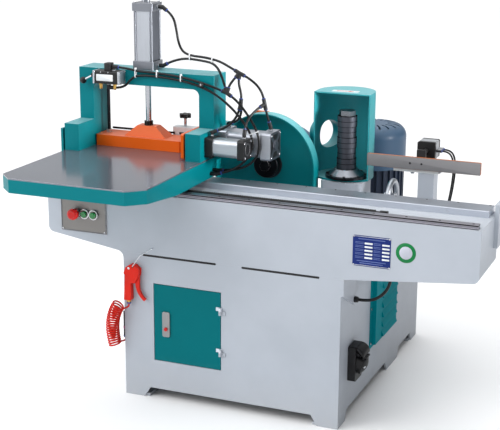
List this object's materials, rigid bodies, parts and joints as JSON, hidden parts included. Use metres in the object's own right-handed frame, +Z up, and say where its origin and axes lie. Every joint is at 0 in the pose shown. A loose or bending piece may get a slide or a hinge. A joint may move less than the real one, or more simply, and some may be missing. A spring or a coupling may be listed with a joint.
{
  "type": "finger joint machine",
  "caption": "Woodworking finger joint machine: sliding table with air press and side clamp on a long bed, saw arbor, vertical cutter spindle with hood, on a steel cabinet.",
  "frame": {"origin": "centre of the floor anchor pattern, on the floor", "axes": "+Z up, +X along the table's feed, operator at -Y"},
  "size_m": [1.478, 1.254, 1.29],
  "materials": {
    "body_paint": "semi-gloss paint",
    "teal_paint": "gloss paint",
    "orange_paint": "gloss paint",
    "motor_paint": "semi-gloss paint",
    "ground_steel": "ground",
    "aluminium": "satin",
    "cast_iron": "machined",
    "black_steel": "black oxide",
    "black_plastic": "moulded",
    "hose_rubber": "smooth",
    "red_plastic": "moulded",
    "green_plastic": "moulded",
    "white_plastic": "moulded",
    "grey_plastic": "moulded"
  },
  "bodies": {
    "frame": {"cabinet": "body_paint", "louvre_panel": "teal_paint", "power_inlet": "black_plastic", "electrical_panel": "grey_plastic", "bed": "body_paint", "front_rail": "ground_steel", "rear_way": "ground_steel", "control_panel": "aluminium", "saw_hood": "teal_paint", "saw_pedestal": "cast_iron", "saw_motor": "motor_paint", "spindle_base": "body_paint", "cutter_hood": "teal_paint", "main_motor": "motor_paint", "motor_fan_cover": "motor_paint", "drive_belt": "hose_rubber", "stop_post": "body_paint", "stop_cylinder": "black_plastic", "fixed_hoses": "hose_rubber", "supply_hose": "hose_rubber", "gun_hook": "ground_steel", "air_gun": "red_plastic", "air_outlet": "black_plastic", "spiral_hose": "red_plastic"},
    "door": {"cabinet_door": "teal_paint", "door_latch": "aluminium"},
    "latch_button": {"latch_button": "red_plastic"},
    "inlet_lid": {"inlet_lid": "black_plastic"},
    "estop_button": {"estop_button": "red_plastic"},
    "start_button_left": {"start_button_left": "green_plastic"},
    "start_button_right": {"start_button_right": "green_plastic"},
    "saw_arbor": {"saw_flange": "black_steel"},
    "quill": {"quill": "ground_steel", "spindle_bearings": "ground_steel"},
    "spindle": {"spindle_shaft": "ground_steel", "spacer_collars": "black_steel"},
    "motor_rotor": {"motor_pulley": "cast_iron"},
    "handwheel": {"handwheel": "aluminium"},
    "stop": {"stop_plate": "orange_paint"},
    "gun_trigger": {"gun_trigger": "red_plastic"},
    "carriage": {"table_top": "ground_steel", "table_frame": "teal_paint", "carriage_bearings": "cast_iron", "gantry": "teal_paint", "press_cylinder_ends": "aluminium", "press_cylinder_barrel": "aluminium", "front_clamp_caps": "black_plastic", "front_clamp_barrel": "aluminium", "rear_clamp_cylinder": "aluminium", "valve_body": "black_plastic", "fence_block": "white_plastic", "air_fittings": "black_plastic", "air_lines": "hose_rubber"},
    "press": {"press_rod": "ground_steel", "press_beam": "orange_paint", "guide_rod": "black_steel"},
    "side_clamp": {"side_clamp": "orange_paint"},
    "valve_lever": {"valve_lever": "black_plastic"},
    "star_knob": {"star_knob": "black_plastic"}
  },
  "joints": [
    {"name": "carriage_slide", "type": "slide", "parent": "frame", "child": "carriage", "axis": [1, 0, 0], "range_m": [0, 0.88]},
    {"name": "press_slide", "type": "slide", "parent": "carriage", "child": "press", "axis": [0, 0, 1], "range_m": [0, 0.1]},
    {"name": "side_clamp_slide", "type": "slide", "parent": "carriage", "child": "side_clamp", "axis": [-1, 0, 0], "range_m": [0, 0.03]},
    {"name": "valve_lever_turn", "type": "hinge", "parent": "carriage", "child": "valve_lever", "pos_m": [-0.5733, -0.2755, 1.04], "axis": [0, 1, 0], "range_deg": [-20, 20]},
    {"name": "star_knob_turn", "type": "hinge", "parent": "carriage", "child": "star_knob", "pos_m": [-0.308, -0.125, 0.894], "axis": [0, 0, 1], "continuous": true},
    {"name": "door_swing", "type": "hinge", "parent": "frame", "child": "door", "pos_m": [-0.027, -0.472, 0.2685], "axis": [0, 0, 1], "range_deg": [0, 110]},
    {"name": "latch_button_push", "type": "slide", "parent": "door", "child": "latch_button", "axis": [0, 1, 0], "range_m": [0, 0.003], "stiffness_N_per_m": 400, "springref_m": -0.001},
    {"name": "estop_push", "type": "slide", "parent": "frame", "child": "estop_button", "axis": [0, 1, 0], "range_m": [0, 0.004], "stiffness_N_per_m": 400, "springref_m": -0.001},
    {"name": "start_left_push", "type": "slide", "parent": "frame", "child": "start_button_left", "axis": [0, 1, 0], "range_m": [0, 0.004], "stiffness_N_per_m": 400, "springref_m": -0.001},
    {"name": "start_right_push", "type": "slide", "parent": "frame", "child": "start_button_right", "axis": [0, 1, 0], "range_m": [0, 0.004], "stiffness_N_per_m": 400, "springref_m": -0.001},
    {"name": "inlet_lid_swing", "type": "hinge", "parent": "frame", "child": "inlet_lid", "pos_m": [0.42938, -0.345, 0.21218], "axis": [0, -1, 0], "range_deg": [0, 100]},
    {"name": "saw_spin", "type": "hinge", "parent": "frame", "child": "saw_arbor", "pos_m": [-0.036, -0.059, 0.733], "axis": [0, 1, 0], "continuous": true},
    {"name": "quill_lift", "type": "slide", "parent": "frame", "child": "quill", "axis": [0, 0, 1], "range_m": [0, 0.045]},
    {"name": "spindle_spin", "type": "hinge", "parent": "quill", "child": "spindle", "pos_m": [0.231, 0, 0.7], "axis": [0, 0, 1], "continuous": true},
    {"name": "motor_spin", "type": "hinge", "parent": "frame", "child": "motor_rotor", "pos_m": [0.238, 0.285, 0.435], "axis": [0, 0, 1], "continuous": true},
    {"name": "handwheel_turn", "type": "hinge", "parent": "frame", "child": "handwheel", "pos_m": [0.394, 0, 0.649], "axis": [1, 0, 0], "range_deg": [0, 172.5]},
    {"name": "stop_slide", "type": "slide", "parent": "frame", "child": "stop", "axis": [0, 1, 0], "range_m": [0, 0.05]},
    {"name": "trigger_pull", "type": "hinge", "parent": "frame", "child": "gun_trigger", "pos_m": [-0.317, -0.478, 0.436], "axis": [0, 1, 0], "range_deg": [0, 14], "stiffness_Nm_per_rad": 0.2, "springref_deg": -2.86}
  ],
  "couplings": [
    {"joint": "handwheel_turn", "follows": "quill_lift", "rad_per_m": 66.667},
    {"joint": "motor_spin", "follows": "spindle_spin", "ratio": 0.5}
  ]
}
